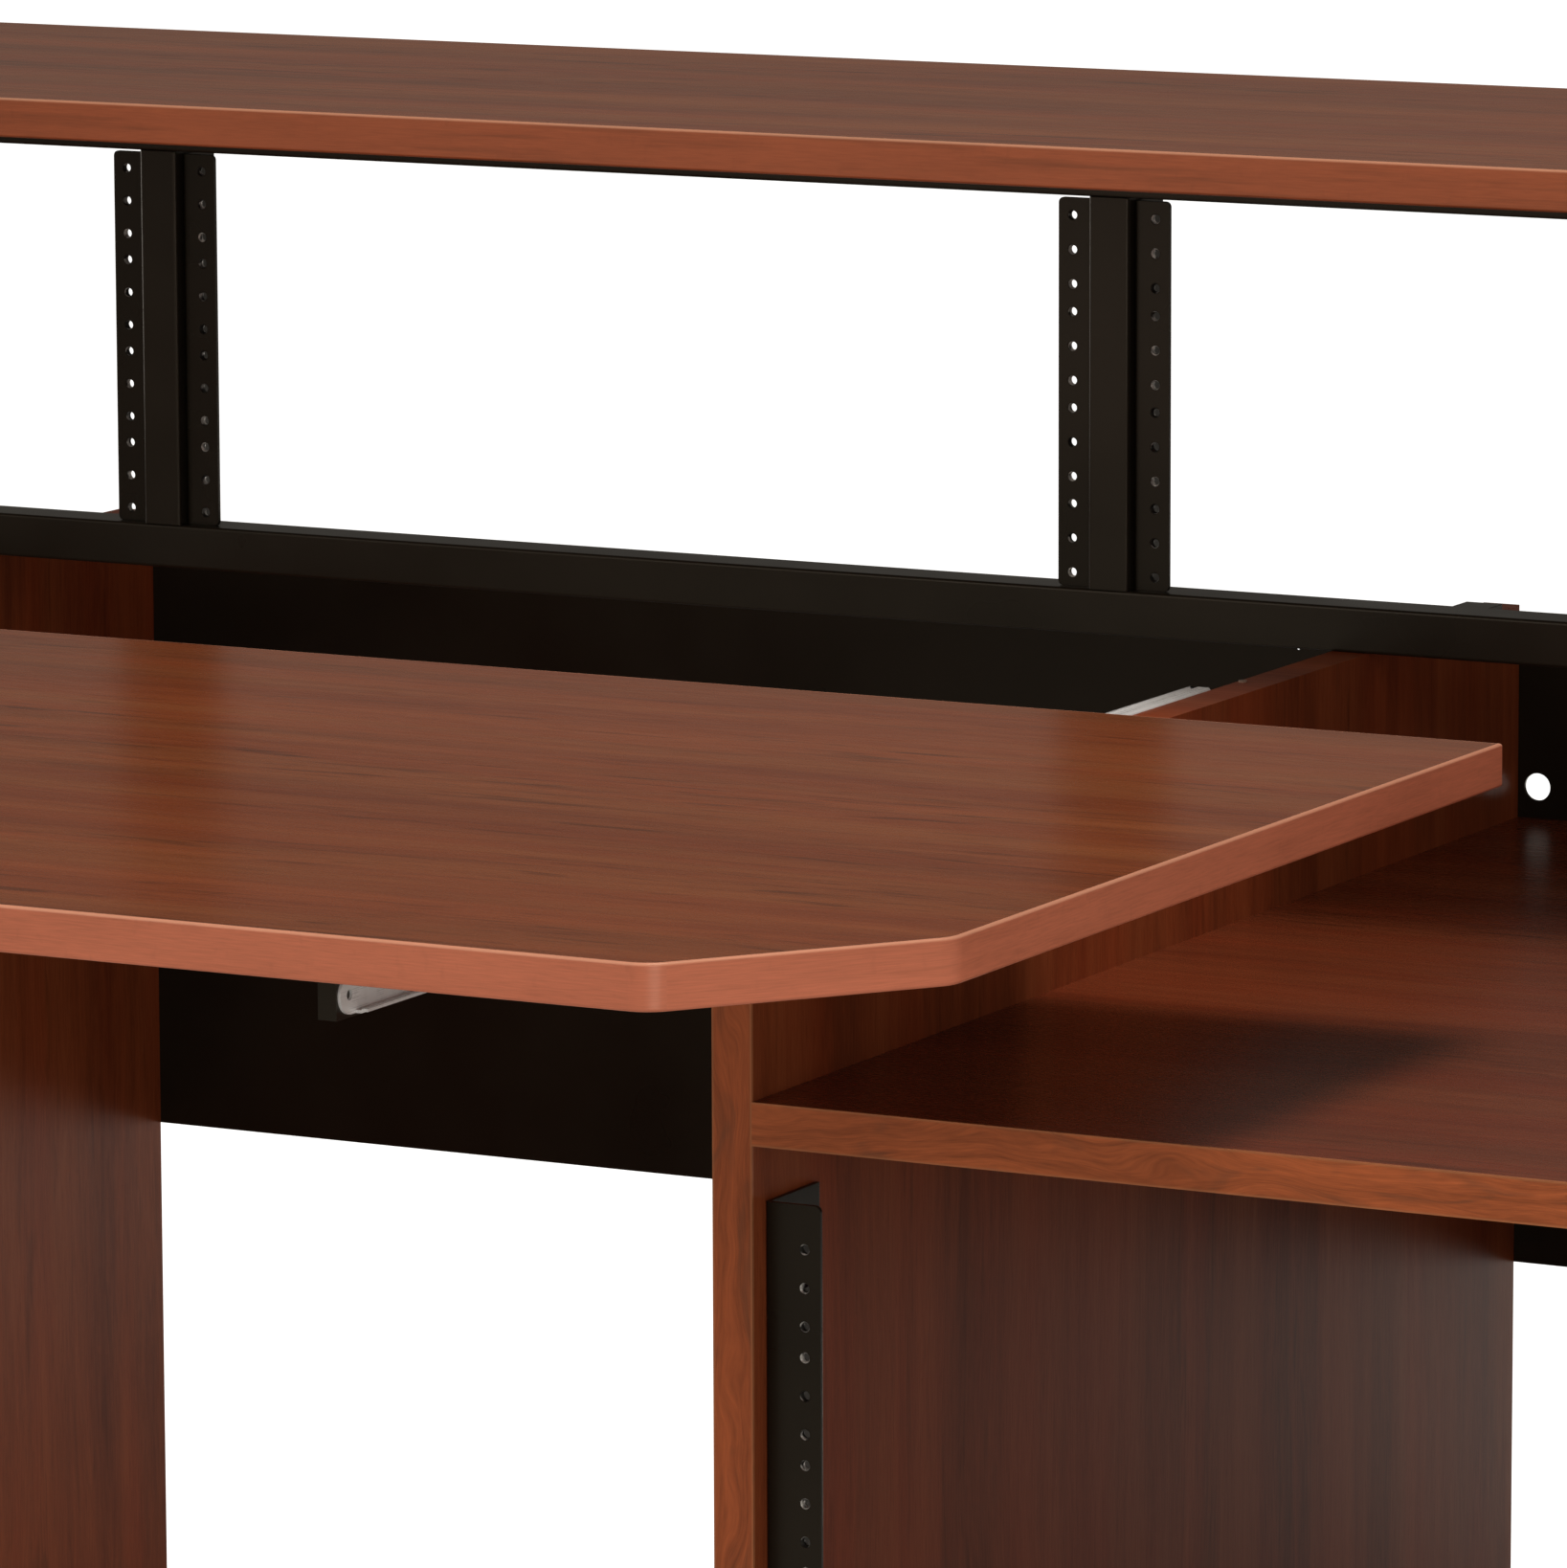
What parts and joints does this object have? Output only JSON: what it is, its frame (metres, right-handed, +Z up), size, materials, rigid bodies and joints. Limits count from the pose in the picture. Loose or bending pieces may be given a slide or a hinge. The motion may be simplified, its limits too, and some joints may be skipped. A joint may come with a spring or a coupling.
{
  "type": "computer desk with keyboard tray",
  "caption": "Studio computer desk with a pull-out keyboard tray on telescopic slides, a raised top shelf over upper rack bays and lower rack bays beside the leg space.",
  "frame": {"origin": "on the floor, on the centre line, half way between the front of the pulled-out tray and the hem of the rear sheet", "axes": "+X to the user's right, +Y to the back, +Z up"},
  "size_m": [1.806, 1.1556, 0.961],
  "materials": {
    "wood_top": "satin cherry-mahogany laminate, grain side to side",
    "wood_panel": "satin cherry-mahogany laminate, upright grain",
    "wood_shelf": "satin cherry-mahogany laminate, grain side to side",
    "edge_band": "satin, wood-print edge band",
    "panel_band": "satin, wood-print edge band",
    "black_steel": "satin black powder coat",
    "rail_steel": "satin black powder coat",
    "zinc": "bright zinc plate",
    "black_plastic": "moulded",
    "screw_black": "blackened",
    "screw_zinc": "zinc plate",
    "beech": "fluted beech",
    "cap_brown": "moulded"
  },
  "bodies": {
    "desk": {"top_shelf": "wood_top", "outer_panel_left": "wood_panel", "inner_panel_left": "wood_panel", "inner_panel_right": "wood_panel", "outer_panel_right": "wood_panel", "bay_shelf_left": "wood_shelf", "bay_shelf_right": "wood_shelf", "bay_floor_left": "wood_shelf", "bay_floor_right": "wood_shelf", "top_shelf_band": "edge_band", "panel_front_bands": "panel_band", "bay_shelf_bands": "panel_band", "bay_floor_bands": "panel_band", "crossbar": "black_steel", "shelf_bar": "black_steel", "foot_arms": "black_steel", "post_outer_left": "black_steel", "post_inner_left": "black_steel", "post_inner_right": "black_steel", "post_outer_right": "black_steel", "rear_sheet": "black_steel", "rail_outer_left_right": "rail_steel", "rail_inner_left_left": "rail_steel", "rail_inner_left_right": "rail_steel", "rail_inner_right_left": "rail_steel", "rail_inner_right_right": "rail_steel", "rail_outer_right_left": "rail_steel", "low_rail_left_inner": "rail_steel", "low_rail_left_outer": "rail_steel", "low_rail_right_inner": "rail_steel", "low_rail_right_outer": "rail_steel", "slide_outer_left": "zinc", "slide_outer_right": "zinc", "levelling_glides": "black_plastic", "crossbar_caps": "black_plastic", "shelf_bar_caps": "black_plastic", "low_rail_screws": "screw_black", "post_rail_screws": "screw_black", "rear_sheet_screws": "screw_black", "foot_arm_screws": "screw_black", "slide_screws": "screw_zinc", "shelf_dowels": "beech", "panel_top_caps": "cap_brown"},
    "slide_left": {"slide_mid_left": "zinc"},
    "slide_right": {"slide_mid_right": "zinc"},
    "tray": {"tray_board": "wood_top", "tray_band": "edge_band", "hanger_left": "black_steel", "hanger_right": "black_steel", "hanger_screws": "screw_zinc", "slide_inner_left": "zinc", "slide_inner_right": "zinc"}
  },
  "joints": [
    {"name": "tray_slide", "type": "slide", "parent": "desk", "child": "tray", "axis": [0, -1, 0], "range_m": [-0.345, 0.05]},
    {"name": "slide_mid_left_slide", "type": "slide", "parent": "desk", "child": "slide_left", "axis": [0, -1, 0], "range_m": [-0.1726, 0.0251]},
    {"name": "slide_mid_right_slide", "type": "slide", "parent": "desk", "child": "slide_right", "axis": [0, -1, 0], "range_m": [-0.1726, 0.0251]}
  ],
  "couplings": [
    {"joint": "slide_mid_left_slide", "follows": "tray_slide", "ratio": 0.5},
    {"joint": "slide_mid_right_slide", "follows": "tray_slide", "ratio": 0.5}
  ]
}
